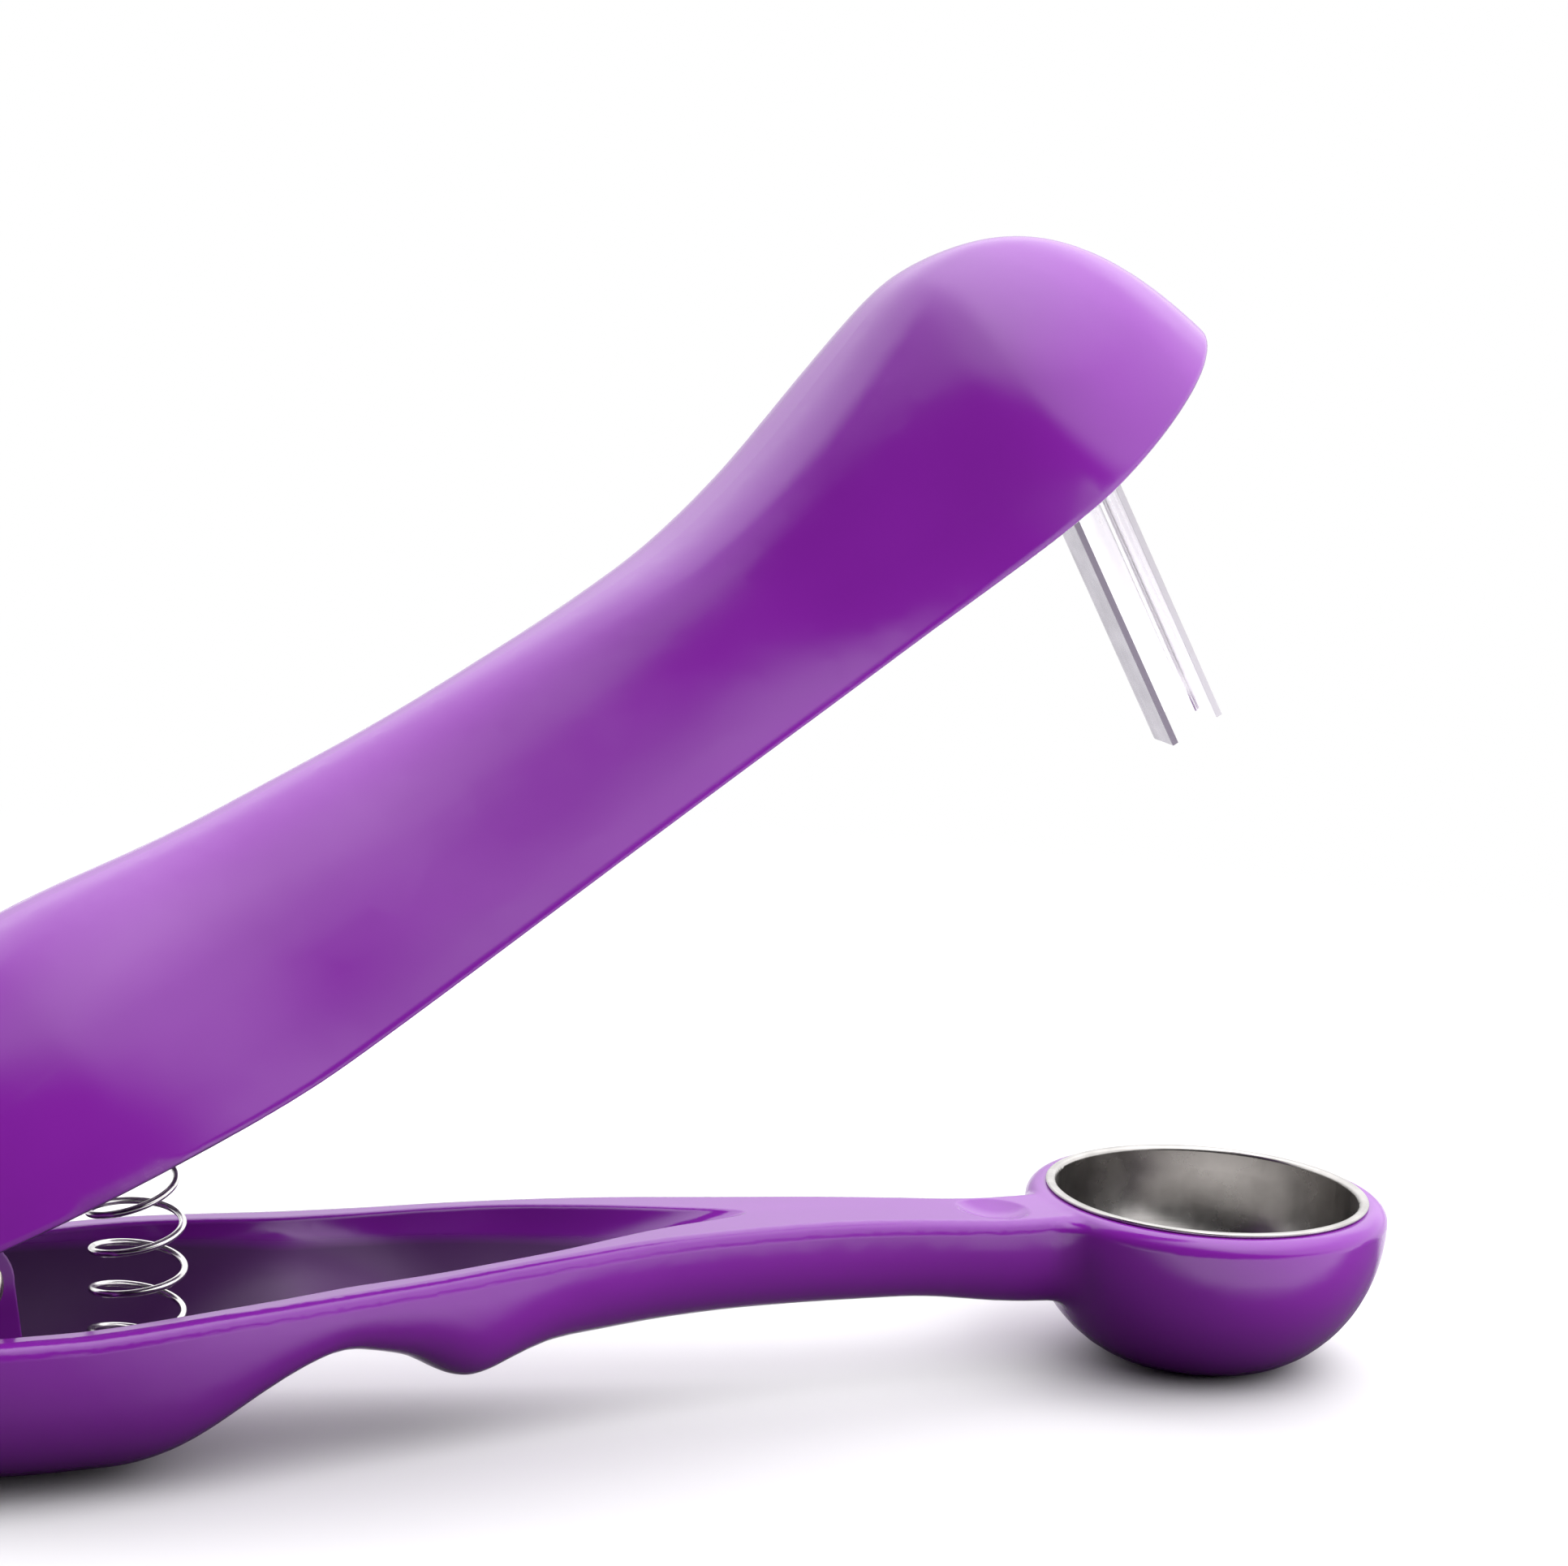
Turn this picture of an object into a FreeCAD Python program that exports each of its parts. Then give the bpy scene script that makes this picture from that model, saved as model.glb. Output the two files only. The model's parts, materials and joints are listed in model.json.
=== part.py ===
import FreeCAD, Part
import math
import os

from FreeCAD import Rotation, Vector

# Hand pitter for olives and cherries: two moulded levers on one pivot at the grip end.
# The lower lever ends in a cup with a steel liner and a pit exit, the upper one in a hood
# with a steel pusher. A coil spring at the grip holds the levers apart.
#
# Frame, millimetres: the origin is the centre of the pit exit on the cup's flat foot, +Z is up,
# +X points from the grip to the cup, and the tool is symmetrical about the plane Y = 0.
# "Reach" is a distance in front of the pivot. Heights of the levers are measured from the
# rim plane, the plane of the cup's rim. The upper lever is drawn closed, on the rim plane,
# and then turned open about the pivot by open_angle, which is how the tool rests.

# --- Driving dimensions -------------------------------------------------------------------

# The pair of levers
pivot_reach = 107.1         # from the pivot to the cup's axis
pivot_rise = 1.6            # pivot above the rim plane
open_angle = 35.2           # degrees between the levers at rest
heel_gap = 0.3              # between the two tails, where the open levers stop
wall = 1.8                  # moulded wall of both levers

# Cup
cup_radius = 15.2
cup_height = 14.0           # foot to rim plane
foot_radius = 6.4
cup_floor = 2.0             # moulded floor under the liner
cup_edge_round = 1.3
exit_radius = 4.6           # pit exit through the cup's floor

# Steel liner
liner_mouth_radius = cup_radius - 2.5   # inside the bowl at its rim
liner_exit_margin = 0.3     # edge of the bowl's hole, outside the pit exit
liner_sheet = 0.5
liner_rim_width = 0.85      # rolled rim, outwards from the bowl's inside
liner_rim_height = 0.35     # rolled rim above the cup's rim
liner_clearance = 0.1       # around the liner in its socket

# Lower lever
neck_half_width = 4.0
neck_depth = 7.95
neck_deck_drop = 0.2        # deck of the neck below the rim plane
waist_half_width = 4.5
waist_depth = 6.6
ridge_half_width = 9.6
ridge_depth = 9.8           # finger ridge below the rim plane
groove_half_width = 11.6
groove_depth = 6.1          # finger groove below the rim plane
belly_half_width = 14.4
lower_tail_length = 15.2    # behind the pivot
lower_tail_drop = 1.3       # rim of the tail below the rim plane
lower_edge_round = 1.1
neck_fillet = 3.0           # between neck and cup
trough_edge = 2.2           # width of the rim round the trough
trough_edge_round = 0.4     # inner edge of that rim
dimple_radius = 2.9
dimple_depth = 0.7
dimple_edge_round = 0.5
dimple_setback = 4.8        # centre of the dimple, behind the cup's side

# Upper lever
hood_half_width = 13.9
hood_apex_height = 19.8
hood_front = 14.9           # front of the hood, in front of the cup's axis
hood_apex_back = 4.3        # apex of the hood, behind the cup's axis
hood_front_lift = 1.55      # front of the hood's rim above the rim plane
hood_lift_start = 13.0      # behind the cup's axis, where the rim starts to lift
shoulder_half_width = 12.8
shoulder_height = 13.4
palm_half_width = 12.7
palm_height = 14.6
grip_half_width = 13.0
grip_height = 17.2
heel_half_width = 14.1
heel_height = 20.6
heel_reach = 13.0           # reach of the highest point over the grip
upper_tail_length = 13.0    # behind the pivot
rim_rise_reach = 28.0       # where the upper rim starts to rise towards the tail

# Pivot
pin_radius = 1.5
pin_running_clearance = 0.05
knuckle_half_width = 4.0
ear_side_clearance = 0.25
ear_thickness = 2.5
boss_radius = 3.6           # round end of ears and knuckle
pin_head_radius = 2.7
pin_head_thickness = 0.9
pin_head_round = 0.54
push_nut_radius = 3.0
push_nut_thickness = 0.8
pin_tail = 0.9              # pin beyond the ear, inside the push nut

# Pusher
pusher_lean = 4.7           # degrees, tips towards the pivot
pusher_width = 5.0          # across the web
pusher_flange = 4.0
pusher_sheet = 0.5
pusher_bend = 1.0           # outside radius of the bends between web and flanges
pusher_reach = 25.7         # square tips below the rim plane, along the pusher
pusher_root = 12.6          # top of the pusher above the rim plane
pusher_boss_wall = 1.7
pusher_boss_foot = 4.5      # bottom of the boss above the rim plane
pusher_fit = 0.05           # around the pusher in its boss
pusher_pin_radius = 0.9
pusher_pin_height = 8.6     # above the rim plane
rib_thickness = 1.4

# Return spring
spring_reach = 14.8
spring_offset = 1.4         # upper seat in front of the lower one
spring_mean_radius = 3.45
spring_wire = 0.56
spring_turns = 8            # open turns between the two closed ends
spring_start = 0.25         # turn at which the lower end starts, from the front
spring_lower_seat = 10.0    # below the rim plane
spring_upper_seat = 9.2     # above the rim plane, levers closed
spring_spigot_clearance = 0.27
spring_spigot_height = 3.0
spring_seat_margin = 0.7    # seat beyond the coil
spring_seat_gap = 0.05
spring_lead = 0.42          # share of the axis over which each seat guides its bend
spring_end_pitch = 1.15     # pitch of the closed ends, in wire diameters
spring_guides = 14          # points that guide one turn
spigot_root = 1.0           # part of a spigot inside its seat

# Forms of the sections
belly_reach = 6.0           # pole of the lower tail, where the belly is widest
trough_front_reach = 69.0
trough_ramp_reach = 44.0    # where the trough's floor starts to climb
trough_taper = 0.6          # share of the trough's width lost at its front
trough_runout = 0.5         # end of the trough's floor above the deck, so that it runs out
trough_overcut = 3.0        # of cutters, above the rim plane
trough_sharp_end = 1.0      # front of the trough's edge, left without a round
overreach = 30.0            # forms that are trimmed later run this far past the rim plane
lower_tail_power = 2.5      # squareness of the tails and of the hood, seen from above
upper_tail_power = 2.3
hood_power = 1.7
side_fullness = 0.5         # how far the lower side wall runs straight down
belly_flatness = 0.82       # how wide the underside is flat
neck_flatness = 0.72
flatness_start = 20.0       # reaches over which the flatness changes
flatness_end = 60.0
lower_step = 4.0            # reach between sections
upper_step = 5.0
cup_belly_width = 4.2       # shape of the cup's outside between foot and rim
cup_belly_lift = 0.9
cup_belly_height = 5.8
bowl_floor_width = 4.7      # shape of the liner's bowl between exit and mouth
bowl_corner_height = 4.4
bowl_floor_rise = 0.3
bowl_collar = 1.6           # straight part of the bowl under its rim
bowl_corner_shift = 0.3     # share of an outset by which the bowl's corner moves
lip_rise = 0.7              # height of the rounded lip of the upper shell
crown_shift = 0.6           # share of an inset by which the crown's shoulder moves
rim_rise_blend = 5.0
hood_front_lean = 0.31      # lean of a section's foot, radians from upright, inwards
hood_fullness = 0.53        # share of a section's height that leans as its foot does
hood_roundness = 0.6        # share of a section's width that is crown
ear_spread = 2.5            # growth of the ears and the knuckle towards their roots
knuckle_spread = 2.0
boss_corner = 1.2
hood_rib_back = 17.0
hood_rib_front = 9.0
hood_rib_foot = 9.5
grip_rib_foot = 12.5

# Reach at which the neck meets the cup
neck_root = pivot_reach - cup_radius

# Stations of the lower lever: reach, half width, deck height, keel height
lower_stations = (
    (belly_reach, belly_half_width, -0.6, -cup_height),
    (12.0, belly_half_width - 0.2, -0.3, -cup_height + 0.1),
    (17.0, belly_half_width - 0.7, 0.0, -cup_height + 1.6),
    (22.0, groove_half_width + 1.3, 0.15, -groove_depth - 3.0),
    (28.5, groove_half_width, 0.3, -groove_depth),
    (35.0, groove_half_width - 1.1, 0.5, -groove_depth - 1.5),
    (40.0, ridge_half_width, 0.75, -ridge_depth),
    (46.0, ridge_half_width - 1.1, 1.0, -ridge_depth + 2.0),
    (55.0, waist_half_width + 2.2, 1.2, -waist_depth - 0.3),
    (64.0, waist_half_width + 0.8, 1.05, -waist_depth),
    (neck_root - 19.9, waist_half_width, 0.8, -waist_depth - 0.1),
    (neck_root - 11.9, neck_half_width + 0.15, 0.3, -neck_depth + 1.0),
    (neck_root - 3.9, neck_half_width + 0.1, -neck_deck_drop, -neck_depth),
    (neck_root + 3.6, neck_half_width + 0.1, -neck_deck_drop, -neck_depth - 0.4),
)

# Reach of the hood's apex
hood_pole = pivot_reach - hood_apex_back

# Stations of the upper lever: reach, half width, crown height
upper_stations = (
    (heel_reach, heel_half_width, heel_height),
    (34.0, grip_half_width, grip_height),
    (55.0, palm_half_width, palm_height),
    (hood_pole - 28.8, shoulder_half_width, shoulder_height),
    (hood_pole - 17.8, shoulder_half_width + 0.2, shoulder_height + 1.75),
    (hood_pole - 9.8, hood_half_width - 0.5, hood_apex_height - 2.35),
    (hood_pole, hood_half_width, hood_apex_height),
)

# Sections of the upper lever: reach, lean, fullness, roundness. The skirt flares along the grip
upper_forms = (
    (heel_reach, 0.3, 0.36, 0.75),
    (34.0, 0.58, 0.42, 0.71),
    (50.0, 0.67, 0.53, 0.62),
    (64.0, 0.66, 0.65, 0.69),
    (hood_pole - 26.8, 0.67, 0.735, 0.86),
    (hood_pole - 14.8, 0.48, 0.53, 0.9),
    (hood_pole, 0.0, hood_fullness, hood_roundness),
)

# --- Derived places -----------------------------------------------------------------------

pivot_x = -pivot_reach
pivot = Vector(pivot_x, 0, cup_height + pivot_rise)
across = Vector(0, 1, 0)
up = Vector(0, 0, 1)
forward = Vector(1, 0, 0)
seat_radius = spring_mean_radius + spring_wire / 2 + spring_seat_margin
spigot_radius = spring_mean_radius - spring_wire / 2 - spring_spigot_clearance

# The upper tail's rim meets the lower tail's rim, less the heel gap, when the levers are open
swing = math.radians(open_angle)
heel_drop = upper_tail_length * math.sin(swing) - pivot_rise - lower_tail_drop + heel_gap
heel_rim_height = pivot_rise + heel_drop / math.cos(swing)
rim_rise_slope = heel_rim_height / (rim_rise_reach + upper_tail_length)


def x_at(reach):
    """X of a point at a reach in front of the pivot."""
    return pivot_x + reach


def z_at(height):
    """Z of a height above the rim plane."""
    return cup_height + height


def opened(shape):
    """The shape turned from the closed lever to the open rest pose."""
    turned = shape.copy()
    turned.rotate(pivot, across, -open_angle)
    return turned


# --- Surfaces from Bezier sections --------------------------------------------------------

def loft(section, params):
    """Faces through the sections at the parameters, one for each Bezier row of poles in a section.

    Each column of poles is a spline in the parameter, with the section's own slope at both ends.
    """
    step = 1e-4 * (params[-1] - params[0])
    sections = [section(param) for param in params]
    starts = section(params[0] + step)
    ends = section(params[-1] - step)
    inner = [Vector()] * (len(params) - 2)
    flags = [True] + [False] * (len(params) - 2) + [True]
    faces = []
    for k, strip in enumerate(zip(*sections)):
        pole_columns = []
        for j, column in enumerate(zip(*strip)):
            if max((p - column[0]).Length for p in column) < 1e-6:
                pole_columns.append(None)
                continue
            leaving = (starts[k][j] - column[0]) / step
            arriving = (column[-1] - ends[k][j]) / step
            guide = Part.BSplineCurve()
            guide.interpolate(Points=list(column), Parameters=params, TangentFlags=flags, Scale=False,
                              Tangents=[leaving] + inner + [arriving])
            pole_columns.append(guide.getPoles())
        filled = [poles or [strip[0][j]] * guide.NbPoles for j, poles in enumerate(pole_columns)]
        degree = len(filled) - 1
        surface = Part.BSplineSurface()
        surface.buildFromPolesMultsKnots(
            list(zip(*filled)), guide.getMultiplicities(), [degree + 1, degree + 1],
            guide.getKnots(), [0.0, 1.0], False, False, guide.Degree, degree)
        faces.append(surface.toShape())
    return faces


def on_both_sides(faces):
    """The faces and their mirror images across the plane Y = 0."""
    return faces + [face.mirror(Vector(), across) for face in faces]


def bezier(poles):
    """Edge along a Bezier curve."""
    curve = Part.BezierCurve()
    curve.setPoles(poles)
    return curve.toShape()


def end_cap(section):
    """Flat face that closes the end of a form, from the last section of one side."""
    edges = [bezier(row) for row in section]
    edges += [edge.mirror(Vector(), across) for edge in edges]
    return Part.Face(Part.Wire(Part.__sortEdges__(edges)))


def sewn_solid(faces):
    """Closed solid from faces that meet edge to edge."""
    shell = Part.makeShell(faces)
    shell.sewShape()
    solid = Part.makeSolid(shell)
    if solid.Volume < 0:
        solid.reverse()
    return solid


def side_place(reach):
    """Places a (radius, height) point in the section plane at a reach, on the -Y side."""
    return lambda radius, height: Vector(x_at(reach), -radius, z_at(height))


def fan_place(centre_reach, azimuth):
    """Places a (radius, height) point in the upright plane at an azimuth about a pole."""
    c = math.cos(azimuth)
    s = math.sin(azimuth)
    return lambda radius, height: Vector(x_at(centre_reach) + radius * c, radius * s, z_at(height))


half_turn = [math.pi * i / 12 for i in range(13)]


def fan_radius(azimuth, along, aside, power):
    """Radius of a superellipse from its centre."""
    c = abs(math.cos(azimuth)) / along
    s = abs(math.sin(azimuth)) / aside
    return (c ** power + s ** power) ** (-1 / power)


def ease(value, start, end):
    """Smooth step from 0 at start to 1 at end."""
    t = min(max((value - start) / (end - start), 0.0), 1.0)
    return t * t * (3 - 2 * t)


def between(stations, column, at):
    """Value between stations by a monotone cubic, level at both ends."""
    slopes = [0.0]
    for before, here, after in zip(stations, stations[1:], stations[2:]):
        back = (here[column] - before[column]) / (here[0] - before[0])
        on = (after[column] - here[column]) / (after[0] - here[0])
        slopes.append(0.0 if back * on <= 0 else 2 * back * on / (back + on))
    slopes.append(0.0)
    i = max(k for k in range(len(stations) - 1) if k == 0 or at >= stations[k][0])
    span = stations[i + 1][0] - stations[i][0]
    t = (at - stations[i][0]) / span
    return ((1 + 2 * t) * (1 - t) ** 2 * stations[i][column] + t * (1 - t) ** 2 * span * slopes[i]
            + t * t * (3 - 2 * t) * stations[i + 1][column] + t * t * (t - 1) * span * slopes[i + 1])


def spread_reaches(stations, step):
    """Reaches from the first to the last station, each gap cut into steps of about one size."""
    reaches = [stations[0][0]]
    for before, after in zip(stations, stations[1:]):
        count = max(1, round((after[0] - before[0]) / step))
        reaches += [before[0] + (after[0] - before[0]) * (i + 1) / count for i in range(count)]
    return reaches


def box(x0, x1, y0, y1, z0, z1):
    """Box between two corners."""
    return Part.makeBox(x1 - x0, y1 - y0, z1 - z0, Vector(x0, y0, z0))


def upright(radius, bottom, top, centre_x):
    """Upright cylinder in the plane Y = 0, between two heights above the rim plane."""
    return Part.makeCylinder(radius, top - bottom, Vector(centre_x, 0, z_at(bottom)))


def turned_profile(edges):
    """Solid of revolution about the cup's axis, from profile edges."""
    return Part.Face(Part.Wire(edges)).revolve(Vector(), up, 360)


def line(a, b):
    """Straight edge."""
    return Part.makeLine(a, b)


# --- Lower lever --------------------------------------------------------------------------

def lower_section(half, deck, keel, flatness, place):
    """Pole rows of half a lower section: side, rounded edge and half deck."""
    side_top = deck - lower_edge_round
    side = [place(half, side_top), place(half, side_top - side_fullness * (side_top - keel)),
            place(flatness * half, keel), place(0, keel)]
    corner = [side[0], place(half, deck), place(half - lower_edge_round, deck)]
    top = [corner[2], place(0, deck)]
    return side, corner, top


def flatness_at(reach):
    """Flatness of the underside, from the belly to the neck."""
    return belly_flatness + (neck_flatness - belly_flatness) * ease(reach, flatness_start, flatness_end)


def lower_body(inset):
    """The lower lever without its trough or cup, drawn inside its skin by an inset."""

    def side(reach):
        half = between(lower_stations, 1, reach) - inset
        deck = between(lower_stations, 2, reach)
        keel = between(lower_stations, 3, reach) + inset
        return lower_section(half, deck, keel, flatness_at(reach), side_place(reach))

    def tail(turn):
        azimuth = -math.pi / 2 - turn
        half = lower_stations[0][1] - inset
        deck = lower_stations[0][2]
        keel = lower_stations[0][3] + inset
        radius = fan_radius(azimuth, lower_tail_length + belly_reach - inset, half, lower_tail_power)
        rim = deck - (lower_tail_drop + deck) * math.cos(azimuth) ** 2
        place = fan_place(belly_reach, azimuth)
        flank, corner, top = lower_section(radius, rim, keel, belly_flatness, place)
        return flank, corner, [top[0], place(0, deck)]

    reaches = spread_reaches(lower_stations, lower_step)
    faces = on_both_sides(loft(side, reaches)) + loft(tail, half_turn)
    return sewn_solid(faces + [end_cap(side(reaches[-1]))])


def trough_section(half, floor, flatness, place):
    """Pole rows of half a trough section: side and open top."""
    top = trough_overcut
    side = [place(half, top), place(half, top - side_fullness * (top - floor)),
            place(flatness * half, floor), place(0, floor)]
    return side, [side[0], place(0, top)]


def trough():
    """The space inside the lower lever, open above. Its floor ramps up to the deck in front."""

    def side(reach):
        ramp = ease(reach, trough_ramp_reach, trough_front_reach)
        deck = between(lower_stations, 2, reach)
        half = (between(lower_stations, 1, reach) - trough_edge) * (1 - trough_taper * ramp)
        floor = between(lower_stations, 3, reach) + wall
        floor += (deck + trough_runout - floor) * ramp
        return trough_section(half, floor, flatness_at(reach), side_place(reach))

    def tail(turn):
        azimuth = -math.pi / 2 - turn
        half = lower_stations[0][1] - trough_edge
        along = lower_tail_length + belly_reach - trough_edge
        radius = fan_radius(azimuth, along, half, lower_tail_power)
        return trough_section(radius, lower_stations[0][3] + wall, belly_flatness,
                              fan_place(belly_reach, azimuth))

    reaches = [r for r in spread_reaches(lower_stations, lower_step) if r < trough_front_reach]
    reaches.append(trough_front_reach)
    faces = on_both_sides(loft(side, reaches)) + loft(tail, half_turn)
    return sewn_solid(faces + [end_cap(side(reaches[-1]))])


def bowl_edge(outset, top):
    """Profile of the liner's bowl, moved outwards by an outset, from the exit up to a height."""
    floor = cup_floor + liner_clearance + liner_sheet
    hole = exit_radius + liner_exit_margin
    mouth = liner_mouth_radius + outset
    shift = bowl_corner_shift * outset
    curve = bezier([Vector(hole, 0, floor - outset),
                    Vector(hole + bowl_floor_width + shift, 0, floor + bowl_floor_rise - outset),
                    Vector(mouth, 0, floor + bowl_corner_height - shift),
                    Vector(mouth, 0, cup_height - bowl_collar)])
    return curve, line(Vector(mouth, 0, cup_height - bowl_collar), Vector(mouth, 0, top))


def cup_form():
    """Outside of the cup, filled."""
    edge = cup_edge_round
    flat = cup_radius - edge
    foot = Vector(foot_radius, 0, 0)
    side_top = Vector(cup_radius, 0, cup_height - edge)
    corner_drop = edge * (1 - math.sqrt(0.5))
    corner = Vector(cup_radius - corner_drop, 0, cup_height - corner_drop)
    ring = Vector(flat, 0, cup_height)
    side = bezier([foot, Vector(foot_radius + cup_belly_width, 0, cup_belly_lift),
                   Vector(cup_radius, 0, cup_belly_height), side_top])
    round_edge = Part.Arc(side_top, corner, ring).toShape()
    top = Vector(0, 0, cup_height)
    return turned_profile([side, round_edge, line(ring, top), line(top, Vector()), line(Vector(), foot)])


def liner_socket():
    """The space in the cup for the liner, with the pit exit below it."""
    over = z_at(trough_overcut)
    curve, collar = bowl_edge(liner_sheet + liner_clearance, over)
    start = curve.Vertexes[0].Point
    end = collar.Vertexes[1].Point
    top = Vector(0, 0, over)
    bottom = Vector(0, 0, start.z)
    pocket = turned_profile([curve, collar, line(end, top), line(top, bottom), line(bottom, start)])
    pit_exit = Part.makeCylinder(exit_radius, over + cup_floor, Vector(0, 0, -cup_floor))
    return pocket.fuse(pit_exit)


def pivot_plate(inner, outer, down_to, spread):
    """Plate between two Y values, round at the pivot and wider towards its root."""
    r = boss_radius
    root_z = z_at(down_to)
    sense = 1 if root_z > pivot.z else -1
    left = Vector(pivot_x - r, inner, pivot.z)
    right = Vector(pivot_x + r, inner, pivot.z)
    tip = Vector(pivot_x, inner, pivot.z - sense * r)
    arc = Part.Arc(left, tip, right).toShape()
    root_right = Vector(pivot_x + r + spread, inner, root_z)
    root_left = Vector(pivot_x - r - spread, inner, root_z)
    edges = [arc, line(right, root_right), line(root_right, root_left), line(root_left, left)]
    return Part.Face(Part.Wire(edges)).extrude(across * (outer - inner))


def pivot_bore(radius):
    """Cutter for a hole along the pivot, right across the tool."""
    reach = 2 * belly_half_width
    return Part.makeCylinder(radius, 2 * reach, Vector(pivot_x, -reach, pivot.z), across)


cup_surfaces = ("Part::GeomSurfaceOfRevolution", "Part::GeomToroid")


def joined_cup(body):
    """The lever's body with its cup, and a fillet where the neck's skin meets the cup's."""
    joined = body.fuse(cup_form())
    edges = []
    for edge in joined.Edges:
        surfaces = [face.Surface.TypeId for face in joined.ancestorsOfType(edge, Part.Face)]
        if "Part::GeomBSplineSurface" in surfaces and set(surfaces) & set(cup_surfaces):
            edges.append(edge)
    return joined.makeFillet(neck_fillet, edges)


def rounded_trough(lever):
    """The lever with its trough, and a small round on the trough's inner edge."""
    space = trough()
    hollow = lever.cut(space)
    front = x_at(trough_front_reach - trough_sharp_end)
    edges = []
    for edge in hollow.Edges:
        point = edge.valueAt((edge.FirstParameter + edge.LastParameter) / 2)
        faces = hollow.ancestorsOfType(edge, Part.Face)
        normals = [face.normalAt(*face.Surface.parameter(point)) for face in faces]
        sharp = len(faces) == 2 and normals[0].getAngle(normals[1]) > 0.5
        on_trough = space.distToShape(Part.Vertex(point))[0] < 1e-3
        if sharp and on_trough and point.x < front:
            edges.append(edge)
    return hollow.makeFillet(trough_edge_round, edges)


def dimpled(lever):
    """The lever with the round dimple in its neck, and a round on the dimple's edge."""
    ball_radius = dimple_radius ** 2 / (2 * dimple_depth) + dimple_depth / 2
    ball_height = ball_radius - dimple_depth - neck_deck_drop
    ball = Part.makeSphere(ball_radius, Vector(x_at(neck_root - dimple_setback), 0, z_at(ball_height)))
    marked = lever.cut(ball)
    edges = []
    for edge in marked.Edges:
        surfaces = [face.Surface.TypeId for face in marked.ancestorsOfType(edge, Part.Face)]
        if "Part::GeomSphere" in surfaces and len(set(surfaces)) > 1:
            edges.append(edge)
    return marked.makeFillet(dimple_edge_round, edges)


def lower_lever():
    """Trough, neck and cup in one moulding, with the pivot ears and the spring's lower seat."""
    lever = dimpled(rounded_trough(joined_cup(lower_body(0.0))))
    inside = lower_body(wall / 2)
    ear_inner = knuckle_half_width + ear_side_clearance
    ears = [pivot_plate(ear_inner, ear_inner + ear_thickness, -cup_height, ear_spread),
            pivot_plate(-ear_inner - ear_thickness, -ear_inner, -cup_height, ear_spread)]
    above = box(x_at(-overreach), x_at(overreach), -overreach, overreach, z_at(-wall), z_at(overreach))
    ears = [ear.common(inside.fuse(above)) for ear in ears]
    seat = upright(seat_radius, -cup_height, -spring_lower_seat, x_at(spring_reach)).common(inside)
    spigot = upright(spigot_radius, -spring_lower_seat - spigot_root,
                     spring_spigot_height - spring_lower_seat, x_at(spring_reach))
    coil_space = upright(seat_radius, -spring_lower_seat, 0, x_at(spring_reach))
    lever = lever.fuse(ears + [seat]).cut(coil_space).fuse(spigot)
    lever = lever.cut([liner_socket(), pivot_bore(pin_radius)])
    return lever.removeSplitter()


# --- Upper lever --------------------------------------------------------------------------

def rim_height(reach):
    """Height of the upper rim above the rim plane, drawn closed."""
    back = rim_rise_reach - reach
    rise = rim_rise_slope * (back + math.sqrt(back * back + rim_rise_blend ** 2)) / 2
    forward_of_cup = reach - pivot_reach
    return rise + hood_front_lift * ease(forward_of_cup, -hood_lift_start, hood_front)


def upper_section(half, rim, crown, lean, fullness, roundness, inset, place):
    """Pole row of half an upper section, from above the lip to the crown."""
    foot = rim + lip_rise
    leg = fullness * (crown - foot)
    side = half - inset
    return [place(side, foot), place(side - leg * math.sin(lean), foot + leg * math.cos(lean)),
            place(roundness * half - crown_shift * inset, crown - inset), place(0, crown - inset)]


def upper_shape_at(reach):
    """Lean, fullness and roundness of the upper section between grip and hood."""
    return [between(upper_forms, column, reach) for column in (1, 2, 3)]


def upper_side(reach, inset):
    """Pole row of half the upper section at a reach, between the two fans."""
    half = between(upper_stations, 1, reach)
    crown = between(upper_stations, 2, reach)
    return upper_section(half, rim_height(reach), crown, *upper_shape_at(reach), inset,
                         side_place(reach))


def upper_front(turn, inset):
    """Pole row of the hood's front, turned about the hood's apex from the -Y side."""
    azimuth = turn - math.pi / 2
    radius = fan_radius(azimuth, hood_front + hood_apex_back, hood_half_width, hood_power)
    lean = hood_front_lean * math.cos(azimuth) ** 2
    rim = rim_height(hood_pole + radius * math.cos(azimuth))
    return upper_section(radius, rim, hood_apex_height, lean, hood_fullness, hood_roundness,
                         inset, fan_place(hood_pole, azimuth))


def upper_tail(turn, inset):
    """Pole row of the tail, turned about the highest point over the grip from the -Y side."""
    azimuth = -math.pi / 2 - turn
    radius = fan_radius(azimuth, upper_tail_length + heel_reach, heel_half_width, upper_tail_power)
    rim = rim_height(heel_reach + radius * math.cos(azimuth))
    return upper_section(radius, rim, heel_height, *upper_shape_at(heel_reach), inset,
                         fan_place(heel_reach, azimuth))


def lip(outside, inside):
    """Pole row round the lip, from the outside row's foot to the inside one's, in line with both."""
    leg = outside[0] - outside[1]
    leg = leg * (lip_rise * 4 / 3 / -leg.z)
    return [outside[0], outside[0] + leg, inside[0] + leg, inside[0]]


def upper_shell():
    """The open moulded shell: outside, lip and inside."""

    def strips(row, at):
        outside = row(at, 0.0)
        inside = row(at, wall)
        return outside, lip(outside, inside), inside

    reaches = spread_reaches(upper_stations, upper_step)
    faces = on_both_sides(loft(lambda reach: strips(upper_side, reach), reaches))
    faces += loft(lambda turn: strips(upper_front, turn), half_turn)
    faces += loft(lambda turn: strips(upper_tail, turn), half_turn)
    return sewn_solid(faces)


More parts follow.
